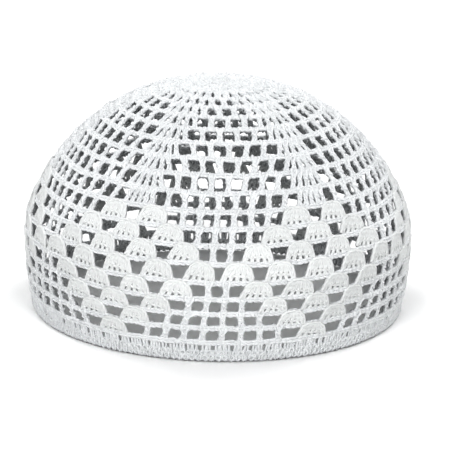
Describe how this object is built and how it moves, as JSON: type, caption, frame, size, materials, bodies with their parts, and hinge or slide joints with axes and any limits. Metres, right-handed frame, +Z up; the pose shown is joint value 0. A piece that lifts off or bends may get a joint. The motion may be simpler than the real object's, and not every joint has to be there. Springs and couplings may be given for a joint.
{
  "type": "crochet skull cap",
  "caption": "Round white cotton crochet cap with open mesh wedges, close spines that open into fans, and a dense rim band.",
  "frame": {"origin": "middle of the rim, in the plane that the cap stands on", "axes": "+Z up through the crown, -Y the front as pictured"},
  "size_m": [0.18, 0.18, 0.107],
  "materials": {
    "cotton_yarn": "matt white cotton crochet yarn"
  },
  "bodies": {
    "root": {"crown": "cotton_yarn", "side_wall": "cotton_yarn", "band": "cotton_yarn"}
  },
  "joints": []
}
